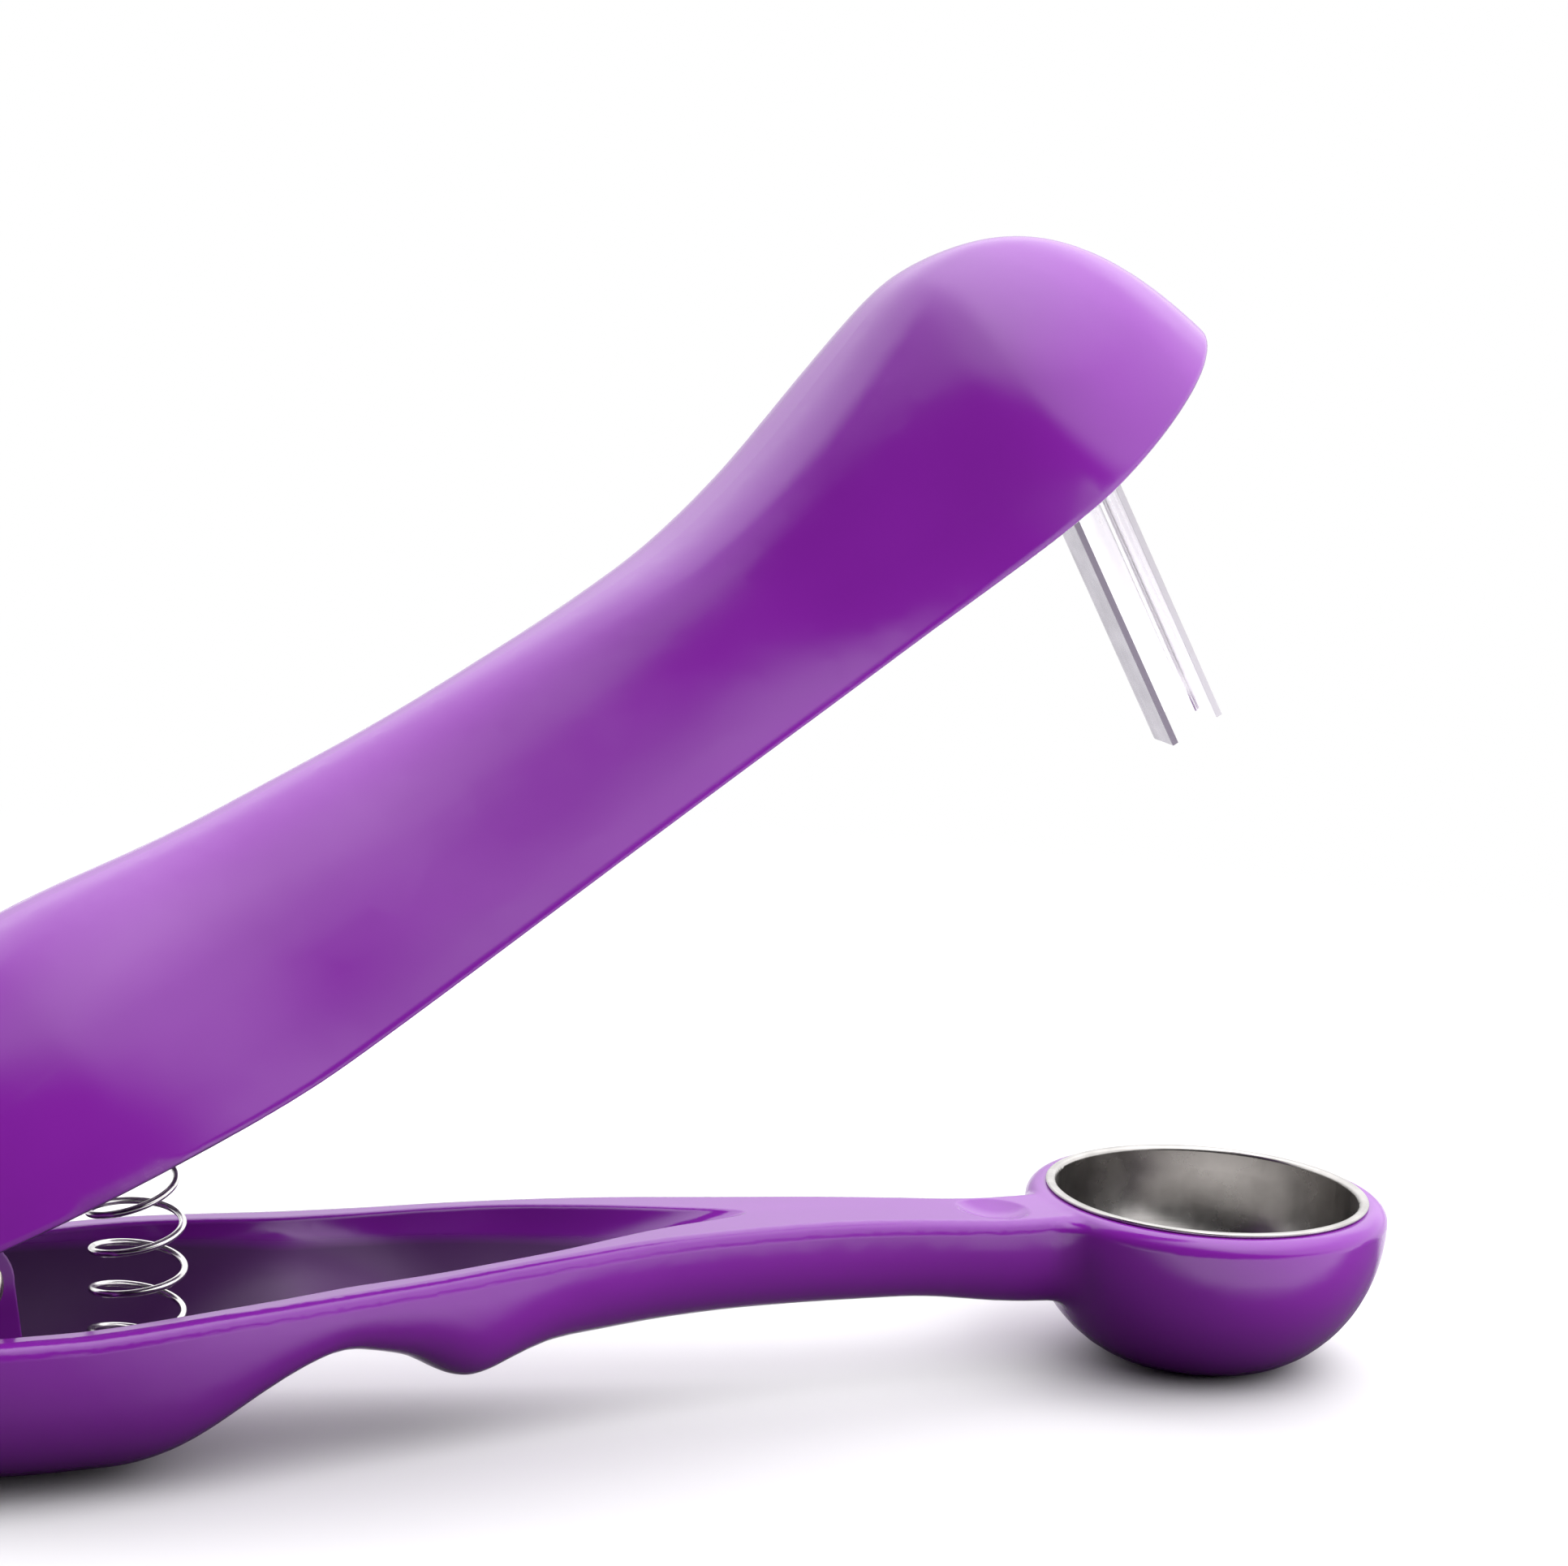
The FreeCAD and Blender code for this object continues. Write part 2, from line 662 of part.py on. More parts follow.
def upper_core():
    """The upper lever filled, drawn half a wall inside its skin, to trim inner features."""

    def side(reach):
        row = upper_side(reach, wall / 2)
        return row, [row[0], Vector(row[3].x, 0, row[0].z)]

    def fan(row_at):
        first = row_at(0.0, wall / 2)
        pole = Vector(first[3].x, 0, first[0].z)

        def section(turn):
            row = row_at(turn, wall / 2)
            return row, [row[0], pole]

        return loft(section, half_turn)

    faces = on_both_sides(loft(side, spread_reaches(upper_stations, upper_step)))
    return sewn_solid(faces + fan(upper_front) + fan(upper_tail))


def pusher_turned(shape):
    """The shape leaned with the pusher, about the cup's centre in the rim plane."""
    turned = shape.copy()
    turned.rotate(Vector(0, 0, cup_height), across, pusher_lean)
    return turned


def channel(grow, bottom, top):
    """The pusher's channel section as a prism, grown by a clearance on every face."""

    def bent(half, back, front, radius):
        bar = box(-half, half, front, back, z_at(bottom), z_at(top))
        boxes = [(edge, edge.BoundBox) for edge in bar.Edges]
        bends = [edge for edge, ends in boxes if ends.ZLength > 1 and ends.YMin > back - 0.01]
        return bar.makeFillet(radius, bends)

    depth = pusher_flange / 2
    inset = pusher_sheet + grow
    outer = bent(pusher_width / 2 + grow, depth + grow, -depth - grow, pusher_bend + grow)
    inner = bent(pusher_width / 2 - inset, depth - inset, -depth - grow - pusher_sheet, pusher_bend - inset)
    return outer.cut(inner)


def upper_lever():
    """Shell with the pusher's boss and ribs, the knuckle, the spring's upper seat and its rib."""
    core = upper_core()
    boss_half = pusher_width / 2 + pusher_boss_wall
    boss_depth = pusher_flange / 2 + pusher_boss_wall
    boss = box(-boss_half, boss_half, -boss_depth, boss_depth, z_at(pusher_boss_foot), z_at(overreach))
    corners = [edge for edge in boss.Edges if abs(edge.tangentAt(edge.FirstParameter).z) > 0.9]
    boss = pusher_turned(boss.makeFillet(boss_corner, corners))
    t = rib_thickness / 2
    upper_reach = spring_reach + spring_offset
    hood_rib = box(-hood_rib_back, hood_rib_front, -t, t, z_at(hood_rib_foot), z_at(overreach))
    grip_rib = box(pivot_x, x_at(upper_reach), -t, t, z_at(grip_rib_foot), z_at(overreach))
    knuckle = pivot_plate(-knuckle_half_width, knuckle_half_width, overreach, knuckle_spread)
    post = upright(seat_radius, spring_upper_seat, overreach, x_at(upper_reach))
    inner = boss.fuse([hood_rib, grip_rib, knuckle, post]).common(core)
    low_space = box(x_at(-overreach), x_at(overreach), -overreach, overreach, z_at(-overreach),
                    z_at(heel_height / 2))
    low_knuckle = knuckle.common(low_space)
    spigot = upright(spigot_radius, spring_upper_seat - spring_spigot_height,
                     spring_upper_seat + spigot_root, x_at(upper_reach))
    lever = upper_shell().fuse([inner, low_knuckle, spigot])
    below_boss = pusher_boss_foot - pusher_boss_wall
    pocket = pusher_turned(channel(pusher_fit, below_boss, pusher_root + pusher_fit))
    pin_hole = pusher_turned(cross_pin())
    lever = lever.cut([pocket, pin_hole, pivot_bore(pin_radius + pin_running_clearance)])
    return lever.removeSplitter()


# --- Steel pieces -------------------------------------------------------------------------

def cup_liner():
    """Drawn bowl with a rolled rim that rests on the cup's ring."""
    top = cup_height + liner_rim_height
    inner_curve, inner_collar = bowl_edge(0.0, top - liner_rim_height)
    outer_curve, outer_collar = bowl_edge(liner_sheet, cup_height)
    mouth = liner_mouth_radius
    rim = liner_rim_height
    inner_end = Vector(mouth, 0, cup_height)
    shoulder = Vector(mouth + rim, 0, top)
    arc_mid = Vector(mouth + rim * (1 - math.sqrt(0.5)), 0, cup_height + rim * math.sqrt(0.5))
    rim_out = mouth + liner_rim_width
    outer_top = Vector(rim_out - rim / 2, 0, top)
    outer_mid = Vector(rim_out, 0, cup_height + rim / 2)
    outer_low = Vector(rim_out - rim / 2, 0, cup_height)
    edges = [inner_curve, inner_collar, Part.Arc(inner_end, arc_mid, shoulder).toShape(),
             line(shoulder, outer_top), Part.Arc(outer_top, outer_mid, outer_low).toShape(),
             line(outer_low, outer_collar.Vertexes[1].Point), outer_collar, outer_curve,
             line(outer_curve.Vertexes[0].Point, inner_curve.Vertexes[0].Point)]
    return turned_profile(Part.__sortEdges__(edges))


def pusher():
    """Channel stamping, open towards -Y. Its flanges end square and its web in an arch between them."""
    strip = channel(0.0, -pusher_reach, pusher_root)
    arch_radius = pusher_width / 2 - pusher_bend
    arch = Part.makeCylinder(arch_radius, pusher_flange, Vector(0, 0, z_at(-pusher_reach)), across)
    return pusher_turned(strip.cut([arch, cross_pin()]))


def cross_pin():
    """Cross pin along X through the boss, both flanges and the moulded tongue between them."""
    length = pusher_width + 2 * pusher_boss_wall
    return Part.makeCylinder(pusher_pin_radius, length, Vector(-length / 2, 0, z_at(pusher_pin_height)),
                             forward)


def pivot_pin():
    """Pin across the ears with a rounded head against the -Y ear."""
    ear_outer = knuckle_half_width + ear_side_clearance + ear_thickness
    under_head = Vector(pivot_x, -ear_outer, pivot.z)
    shank = Part.makeCylinder(pin_radius, 2 * ear_outer + pin_tail, under_head, across)
    head = Part.makeCylinder(pin_head_radius, pin_head_thickness, under_head, -across)
    rim = [edge for edge in head.Edges if edge.Curve.TypeId == "Part::GeomCircle"
           and edge.CenterOfMass.y < -ear_outer - pin_head_thickness / 2]
    head = head.makeFillet(pin_head_round, rim)
    return shank.fuse(head).removeSplitter()


def pivot_push_nut():
    """Domed push-on cap over the pin's tail, against the +Y ear."""
    ear_outer = knuckle_half_width + ear_side_clearance + ear_thickness
    start = Vector(pivot_x, ear_outer, pivot.z)
    cap = Part.makeCylinder(push_nut_radius, pin_tail + push_nut_thickness, start, across)
    rim = [edge for edge in cap.Edges if edge.Curve.TypeId == "Part::GeomCircle"
           and edge.CenterOfMass.y > ear_outer + pin_tail / 2]
    cap = cap.makeFillet(push_nut_thickness, rim)
    return cap.cut(Part.makeCylinder(pin_radius, pin_tail, start, across))


def return_spring():
    """Coil spring on an axis that bends from the lower seat to the open upper seat."""
    lower = Vector(x_at(spring_reach), 0, z_at(-spring_lower_seat + spring_seat_gap + spring_wire / 2))
    turn = Rotation(across, -open_angle)
    seat = Vector(x_at(spring_reach + spring_offset), 0,
                  z_at(spring_upper_seat - spring_seat_gap - spring_wire / 2))
    upper = pivot + turn.multVec(seat - pivot)
    lead = (upper - lower).Length * spring_lead
    away = turn.multVec(up)
    axis = Part.BezierCurve()
    axis.setPoles([lower, lower + up * lead, upper - away * lead, upper])
    total_turns = spring_turns + 2
    steps = int(total_turns * spring_guides)
    closed_share = spring_end_pitch * spring_wire / axis.length()
    points = []
    for i in range(steps + 1):
        turned = total_turns * i / steps
        if turned < 1:
            share = closed_share * turned
        elif turned > total_turns - 1:
            share = 1 - closed_share * (total_turns - turned)
        else:
            share = closed_share + (1 - 2 * closed_share) * (turned - 1) / spring_turns
        at = axis.parameterAtDistance(share * axis.length())
        along = axis.tangent(at)[0]
        aside = across.cross(along)
        angle = 2 * math.pi * (spring_start + turned)
        points.append(axis.value(at) + (aside * math.cos(angle) + across * math.sin(angle))
                      * spring_mean_radius)
    path = Part.BSplineCurve()
    path.interpolate(Points=points)
    wire = Part.Wire(path.toShape())
    end_circle = Part.Circle(points[0], path.tangent(path.FirstParameter)[0], spring_wire / 2)
    return wire.makePipeShell([Part.Wire(end_circle.toShape())], True, True)


# --- Build --------------------------------------------------------------------------------

os.makedirs("parts", exist_ok=True)
for name, shape in (
        ("lower_arm", lower_lever()),
        ("cup_liner", cup_liner()),
        ("upper_arm", opened(upper_lever())),
        ("pusher", opened(pusher())),
        ("pusher_pin", opened(pusher_turned(cross_pin()))),
        ("pivot_pin", pivot_pin()),
        ("pivot_push_nut", pivot_push_nut()),
        ("return_spring", return_spring())):
    shape.Solids[0].exportStep("parts/" + name + ".step")
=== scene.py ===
import json
import math

import bpy
import numpy as np
from mathutils import Matrix, Vector


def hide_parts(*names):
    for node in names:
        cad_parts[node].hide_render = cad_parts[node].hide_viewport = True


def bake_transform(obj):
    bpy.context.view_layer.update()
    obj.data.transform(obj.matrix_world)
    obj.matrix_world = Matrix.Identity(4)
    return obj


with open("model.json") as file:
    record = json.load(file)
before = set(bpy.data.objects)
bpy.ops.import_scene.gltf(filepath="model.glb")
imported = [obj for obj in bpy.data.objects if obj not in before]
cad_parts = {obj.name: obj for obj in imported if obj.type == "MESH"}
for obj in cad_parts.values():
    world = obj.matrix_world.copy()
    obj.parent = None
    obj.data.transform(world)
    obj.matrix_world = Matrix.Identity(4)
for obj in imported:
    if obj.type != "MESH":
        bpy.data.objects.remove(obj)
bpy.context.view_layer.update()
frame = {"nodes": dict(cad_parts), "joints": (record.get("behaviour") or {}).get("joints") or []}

# --- The two levers -----------------------------------------------------------------------
# Both levers are single mouldings in violet ABS with a wall of about 2 mm, polished outside.
# The upper one is an open channel under a domed hood, the lower one a trough, a neck and a cup.
# They come out of two-part moulds, which leave ejector pin marks on the hidden inner faces.

parting = 0.014  # height of the plane where the closed levers meet
open_angle = math.radians(35.2)
pivot = Vector(frame["joints"][0]["pos_m"])
open_turn = (Matrix.Translation(pivot) @ Matrix.Rotation(-open_angle, 4, "Y")
             @ Matrix.Translation(-pivot))


def linear(code):
    """Linear colour with alpha from an sRGB hex code: the sRGB curve undone channel by channel."""
    share = np.array([int(code[i:i + 2], 16) for i in (1, 3, 5)]) / 255
    value = np.where(share <= 0.04045, share / 12.92, ((share + 0.055) / 1.055) ** 2.4)
    return (*value, 1.0)


def fill(node, inputs):
    """Sets the sockets of a node to values, or links outputs of other nodes to them."""
    for key, value in inputs.items():
        if isinstance(value, bpy.types.NodeSocket):
            node.id_data.links.new(value, node.inputs[key])
        else:
            node.inputs[key].default_value = value


def add(tree, kind, inputs=None, **settings):
    """Adds a node with its settings, and fills its sockets."""
    node = tree.nodes.new(kind)
    for name, value in settings.items():
        setattr(node, name, value)
    fill(node, inputs or {})
    return node


def new_material(name):
    """Empty node material, with its tree and its shader."""
    material = bpy.data.materials.new(name)
    material.use_nodes = True
    return material, material.node_tree, material.node_tree.nodes["Principled BSDF"]


def finish_node(node_name, material):
    """Gives a carried-over part its finish."""
    part = frame["nodes"][node_name]
    part.data.materials.clear()
    part.data.materials.append(material)


def moulded_abs(name, drawn_to_rest, joins, marks, inward):
    """Moulded ABS, polished outside and matt inside: high gloss with faint flow lines mirrors soft
    light with slightly wavy edges, while the inner faces are dull and painted a deeper violet,
    as painted shade in the hollows.

    The pattern is drawn on the closed lever, and the scale of each noise is 1000 over its size in
    millimetres. Joins are the x of the planes where the lever's skins meet, and marks are the
    (x, y, radius) of ejector pins, both in millimetres. Inward is 1 where the lever is hollow
    from above, and -1 where it is hollow from below.
    """
    material, tree, shader = new_material(name)
    place = add(tree, "ShaderNodeTexCoord")
    rest_to_drawn = drawn_to_rest.inverted()
    turn = rest_to_drawn.to_euler()
    point = add(tree, "ShaderNodeMapping", {
        "Vector": place.outputs["Object"], "Location": rest_to_drawn.translation, "Rotation": turn})
    facing = add(tree, "ShaderNodeMapping", {
        "Vector": place.outputs["Normal"], "Rotation": turn}, vector_type="VECTOR")

    # Inner faces: 1 to 2 mm or more inside the parting plane, facing it or the middle plane
    at = add(tree, "ShaderNodeSeparateXYZ", {0: point.outputs[0]})
    faces = add(tree, "ShaderNodeSeparateXYZ", {0: facing.outputs[0]})
    deep = add(tree, "ShaderNodeMapRange", {
        "Value": at.outputs["Z"],
        "From Min": parting - 0.001 * inward, "From Max": parting - 0.002 * inward})
    across = add(tree, "ShaderNodeMath", {
        0: at.outputs["Y"], 1: faces.outputs["Y"]}, operation="MULTIPLY")
    to_middle = add(tree, "ShaderNodeMapRange", {
        "Value": across.outputs[0], "From Min": -0.0005, "From Max": -0.0015})
    to_parting = add(tree, "ShaderNodeMapRange", {
        "Value": faces.outputs["Z"], "From Min": 0.3 * inward, "From Max": 0.6 * inward})
    hollow = add(tree, "ShaderNodeMath", {
        0: to_middle.outputs[0], 1: to_parting.outputs[0]}, operation="MAXIMUM")
    inside = add(tree, "ShaderNodeMath", {
        0: hollow.outputs[0], 1: deep.outputs[0]}, operation="MULTIPLY")

    # Flow of the melt: patches of 25 mm drawn out along the lever, one shade apart
    drawn_out = add(tree, "ShaderNodeMapping", {
        "Vector": point.outputs[0], "Scale": (0.35, 1.0, 1.0)})
    flow = add(tree, "ShaderNodeTexNoise", {
        "Vector": drawn_out.outputs[0], "Scale": 1000 / 25, "Detail": 3.0, "Distortion": 0.6})
    share = add(tree, "ShaderNodeMapRange", {
        "Value": flow.outputs["Fac"], "From Min": 0.3, "From Max": 0.7})
    shade = add(tree, "ShaderNodeMix", {
        "Factor": share.outputs[0], "A": linear("#761E92"), "B": linear("#82229E")},
        data_type="RGBA")
    # Painted shade: the inner faces are painted a deeper violet, for the shade in the hollows
    tint = add(tree, "ShaderNodeMix", {
        "Factor": inside.outputs[0], "A": shade.outputs["Result"], "B": linear("#48105A")},
        data_type="RGBA")

    # Handling: polished and dulled patches of 7 mm, and hairlines 0.3 mm wide along the lever
    smear = add(tree, "ShaderNodeTexNoise", {
        "Vector": point.outputs[0], "Scale": 1000 / 7, "Detail": 4.0, "Roughness": 0.6})
    along = add(tree, "ShaderNodeMapping", {
        "Vector": point.outputs[0], "Scale": (0.04, 1.0, 1.0)})
    hairline = add(tree, "ShaderNodeTexNoise", {
        "Vector": along.outputs[0], "Scale": 1000 / 0.9, "Detail": 2.0, "Roughness": 0.4})
    worn = add(tree, "ShaderNodeMapRange", {
        "Value": hairline.outputs["Fac"], "From Min": 0.66, "From Max": 0.80, "To Max": 0.06})
    dull = add(tree, "ShaderNodeMapRange", {
        "Value": smear.outputs["Fac"], "From Min": 0.3, "From Max": 0.7,
        "To Min": 0.12, "To Max": 0.18})
    polish = add(tree, "ShaderNodeMath", {0: dull.outputs[0], 1: worn.outputs[0]}, operation="ADD")
    rough = add(tree, "ShaderNodeMath", {
        0: inside.outputs[0], 1: 0.4, 2: polish.outputs[0]}, operation="MULTIPLY_ADD")

    # Skin: sink waves 9 mm long and a few micrometres deep, under a grain of 0.4 mm. The bump's
    # distance is 20 micrometres, and an ejector pin leaves a dent four times as deep
    wave = add(tree, "ShaderNodeTexNoise", {
        "Vector": point.outputs[0], "Scale": 1000 / 9, "Detail": 1.0})
    grain = add(tree, "ShaderNodeTexNoise", {
        "Vector": point.outputs[0], "Scale": 1000 / 0.4, "Detail": 2.0})
    height = add(tree, "ShaderNodeMath", {
        0: grain.outputs["Fac"], 1: 0.02, 2: wave.outputs["Fac"]}, operation="MULTIPLY_ADD")
    for x, y, radius in marks:
        flat = add(tree, "ShaderNodeVectorMath", {
            0: point.outputs[0], 1: (-x / 1000, -y / 1000, 0.0)}, operation="ADD")
        flat = add(tree, "ShaderNodeVectorMath", {
            0: flat.outputs[0], 1: (1.0, 1.0, 0.0)}, operation="MULTIPLY")
        reach = add(tree, "ShaderNodeVectorMath", {0: flat.outputs[0]}, operation="LENGTH")
        dent = add(tree, "ShaderNodeMapRange", {
            "Value": reach.outputs["Value"], "From Min": radius / 1000,
            "From Max": (radius + 0.25) / 1000, "To Min": 4.0, "To Max": 0.0},
            interpolation_type="SMOOTHSTEP")
        dent = add(tree, "ShaderNodeMath", {
            0: dent.outputs[0], 1: inside.outputs[0]}, operation="MULTIPLY")
        height = add(tree, "ShaderNodeMath", {
            0: height.outputs[0], 1: dent.outputs[0]}, operation="SUBTRACT")

    # Edges rounded by 0.25 mm, and the joins of the skins by 2 mm from the rim upwards
    round_off = 0.00025
    for x in joins:
        away = add(tree, "ShaderNodeMath", {0: at.outputs["X"], 1: -x / 1000}, operation="ADD")
        away = add(tree, "ShaderNodeMath", {0: away.outputs[0]}, operation="ABSOLUTE")
        band = add(tree, "ShaderNodeMapRange", {
            "Value": away.outputs[0], "From Min": 0.003, "From Max": 0.005,
            "To Min": 0.002, "To Max": 0.0})
        off_rim = add(tree, "ShaderNodeMapRange", {
            "Value": at.outputs["Z"],
            "From Min": parting - 0.0005 * inward, "From Max": parting - 0.003 * inward})
        band = add(tree, "ShaderNodeMath", {
            0: band.outputs[0], 1: off_rim.outputs[0]}, operation="MULTIPLY")
        round_off = add(tree, "ShaderNodeMath", {
            0: band.outputs[0], 1: round_off}, operation="MAXIMUM").outputs[0]
    eased = add(tree, "ShaderNodeBevel", {"Radius": round_off}, samples=6)
    relief = add(tree, "ShaderNodeBump", {
        "Height": height.outputs[0], "Strength": 1.0, "Distance": 0.00002,
        "Normal": eased.outputs[0]})

    # Rims and corners are rubbed paler and duller, where the rounded normal leaves the true one
    true_way = add(tree, "ShaderNodeNewGeometry")
    turned = add(tree, "ShaderNodeVectorMath", {
        0: eased.outputs[0], 1: true_way.outputs["Normal"]}, operation="DOT_PRODUCT")
    corner = add(tree, "ShaderNodeMapRange", {
        "Value": turned.outputs["Value"], "From Min": 0.99, "From Max": 0.93})
    patchy = add(tree, "ShaderNodeMapRange", {
        "Value": smear.outputs["Fac"], "From Min": 0.42, "From Max": 0.62, "To Max": 0.45})
    rubbed = add(tree, "ShaderNodeMath", {
        0: corner.outputs[0], 1: patchy.outputs[0]}, operation="MULTIPLY")
    colour = add(tree, "ShaderNodeMix", {
        "Factor": rubbed.outputs[0], "A": tint.outputs["Result"], "B": linear("#A765BC")},
        data_type="RGBA")
    gloss = add(tree, "ShaderNodeMath", {
        0: rubbed.outputs[0], 1: 0.3, 2: rough.outputs[0]}, operation="MULTIPLY_ADD")
    fill(shader, {
        "Base Color": colour.outputs["Result"], "Roughness": gloss.outputs[0],
        "Normal": relief.outputs["Normal"], "IOR": 1.54})
    return material


finish_node("lower_arm", moulded_abs("violet_abs_lower", Matrix.Identity(4), [], [], 1))
ejector_pins = [(x, y * side, radius) for side in (1, -1) for x, y, radius in (
    (-76.0, 5.5, 1.5), (-52.0, 5.5, 1.5), (-24.0, 5.0, 1.5), (2.0, 7.5, 1.8))]
finish_node("upper_arm", moulded_abs(
    "violet_abs_upper", open_turn, [-4.3, -94.1], ejector_pins, -1))

# --- Cup liner ----------------------------------------------------------------------------
# The bowl that takes the fruit is drawn from 0.5 mm stainless sheet, with a rolled rim.
# It is pressed into the moulded cup, and the pit falls through the hole in its floor.

bowl, tree, shader = new_material("drawn_stainless_bowl")
place = add(tree, "ShaderNodeTexCoord")
level = add(tree, "ShaderNodeVectorMath", {
    0: place.outputs["Object"], 1: (1.0, 1.0, 0.0)}, operation="MULTIPLY")
radius = add(tree, "ShaderNodeVectorMath", {0: level.outputs[0]}, operation="LENGTH")
# Polished drawn steel: a soft mirror in which rings round the bowl spread each light. They are
# drawn 0.35 mm apart so that they show. Patches of 4 mm are duller and paler
rings = add(tree, "ShaderNodeTexNoise", {
    "W": radius.outputs["Value"], "Scale": 1000 / 0.35, "Detail": 3.0}, noise_dimensions="1D")
patch = add(tree, "ShaderNodeTexNoise", {
    "Vector": place.outputs["Object"], "Scale": 1000 / 4, "Detail": 4.0})
share = add(tree, "ShaderNodeMapRange", {
    "Value": patch.outputs["Fac"], "From Min": 0.35, "From Max": 0.7})
tone = add(tree, "ShaderNodeMix", {
    "Factor": share.outputs[0], "A": linear("#A29F9D"), "B": linear("#BEBBB9")}, data_type="RGBA")
rough = add(tree, "ShaderNodeMapRange", {
    "Value": patch.outputs["Fac"], "To Min": 0.16, "To Max": 0.36})
relief = add(tree, "ShaderNodeBump", {
    "Height": rings.outputs["Fac"], "Strength": 0.35, "Distance": 0.00002})
fill(shader, {
    "Base Color": tone.outputs["Result"], "Roughness": rough.outputs[0],
    "Normal": relief.outputs["Normal"], "Metallic": 1.0})
finish_node("cup_liner", bowl)

# --- Pusher -------------------------------------------------------------------------------
# The pusher is a stainless strip bent to a channel, cut square, with an arch in its web: the
# two flanges that are left push the pit out. A cross pin holds it in the hood's boss.

strip_lean = math.radians(4.7)
flange_edge = -0.002  # y of the free edges of both flanges
strip_to_rest = (open_turn @ Matrix.Translation((0, 0, parting))
                 @ Matrix.Rotation(strip_lean, 4, "Y"))
rest_to_strip = strip_to_rest.inverted()
strip, tree, shader = new_material("rolled_stainless_strip")
place = add(tree, "ShaderNodeTexCoord")
point = add(tree, "ShaderNodeMapping", {
    "Vector": place.outputs["Object"], "Location": rest_to_strip.translation,
    "Rotation": rest_to_strip.to_euler()})
facing = add(tree, "ShaderNodeMapping", {
    "Vector": place.outputs["Normal"], "Rotation": rest_to_strip.to_euler()}, vector_type="VECTOR")
at = add(tree, "ShaderNodeSeparateXYZ", {0: point.outputs[0]})
faces = add(tree, "ShaderNodeSeparateXYZ", {0: facing.outputs[0]})
# Rolled steel: grain along the strip, 0.25 mm wide, draws each light out across it, and water
# marks of 3 mm change its grey
along = add(tree, "ShaderNodeMapping", {"Vector": point.outputs[0], "Scale": (1.0, 1.0, 0.03)})
grain = add(tree, "ShaderNodeTexNoise", {
    "Vector": along.outputs[0], "Scale": 1000 / 0.5, "Detail": 3.0})
spots = add(tree, "ShaderNodeTexNoise", {
    "Vector": point.outputs[0], "Scale": 1000 / 3, "Detail": 4.0})
share = add(tree, "ShaderNodeMapRange", {
    "Value": spots.outputs["Fac"], "From Min": 0.35, "From Max": 0.7})
tone = add(tree, "ShaderNodeMix", {
    "Factor": share.outputs[0], "A": linear("#A8A5AB"), "B": linear("#BCB9BF")}, data_type="RGBA")
rough = add(tree, "ShaderNodeMapRange", {
    "Value": grain.outputs["Fac"], "To Min": 0.16, "To Max": 0.4})
relief = add(tree, "ShaderNodeBump", {
    "Height": grain.outputs["Fac"], "Strength": 0.4, "Distance": 0.00002})
# Faces inside the channel are painted near-white: a painted reflection of the white they mirror
outward = add(tree, "ShaderNodeMath", {
    0: at.outputs["X"], 1: faces.outputs["X"]}, operation="MULTIPLY")
in_flange = add(tree, "ShaderNodeMapRange", {
    "Value": outward.outputs[0], "From Min": -0.0002, "From Max": -0.0010})
in_web = add(tree, "ShaderNodeMapRange", {
    "Value": faces.outputs["Y"], "From Min": -0.3, "From Max": -0.6})
painted_reflection_faces = add(tree, "ShaderNodeMath", {
    0: in_flange.outputs[0], 1: in_web.outputs[0]}, operation="MAXIMUM")
painted_reflection_tone = add(tree, "ShaderNodeMix", {
    "Factor": painted_reflection_faces.outputs[0], "A": tone.outputs["Result"], "B": linear("#F1EFF2")},
    data_type="RGBA")
# The sheared free edges are dull and dark, the right one half as dark
right_half_dark = add(tree, "ShaderNodeMapRange", {
    "Value": at.outputs["X"], "From Min": -0.001, "From Max": 0.001, "To Min": 1.0, "To Max": 0.5})
sheared = add(tree, "ShaderNodeMapRange", {
    "Value": at.outputs["Y"], "From Min": flange_edge + 0.0002, "From Max": flange_edge + 0.00005,
    "To Max": right_half_dark.outputs[0]})
tint = add(tree, "ShaderNodeMix", {
    "Factor": sheared.outputs[0], "A": painted_reflection_tone.outputs["Result"], "B": linear("#8A8290")},
    data_type="RGBA")
dull = add(tree, "ShaderNodeMath", {
    0: sheared.outputs[0], 1: 0.2, 2: rough.outputs[0]}, operation="MULTIPLY_ADD")
fill(shader, {
    "Base Color": tint.outputs["Result"], "Roughness": dull.outputs[0],
    "Normal": relief.outputs["Normal"], "Metallic": 1.0})
finish_node("pusher", strip)

# --- Pins ---------------------------------------------------------------------------------
# The pivot pin has a rounded head on one side and a push-on cap on the other.
# Both, and the pusher's cross pin, are turned steel with a thin bright nickel plating.

plate, tree, shader = new_material("nickel_plated_steel")
place = add(tree, "ShaderNodeTexCoord")
# Nickel plating: warm and bright, with a faint haze in patches of 1.5 mm
haze = add(tree, "ShaderNodeTexNoise", {
    "Vector": place.outputs["Object"], "Scale": 1000 / 1.5, "Detail": 4.0})
share = add(tree, "ShaderNodeMapRange", {
    "Value": haze.outputs["Fac"], "From Min": 0.4, "From Max": 0.65})
tone = add(tree, "ShaderNodeMix", {
    "Factor": share.outputs[0], "A": linear("#B8B2A6"), "B": linear("#D5D1C8")}, data_type="RGBA")
rough = add(tree, "ShaderNodeMapRange", {
    "Value": haze.outputs["Fac"], "To Min": 0.12, "To Max": 0.3})
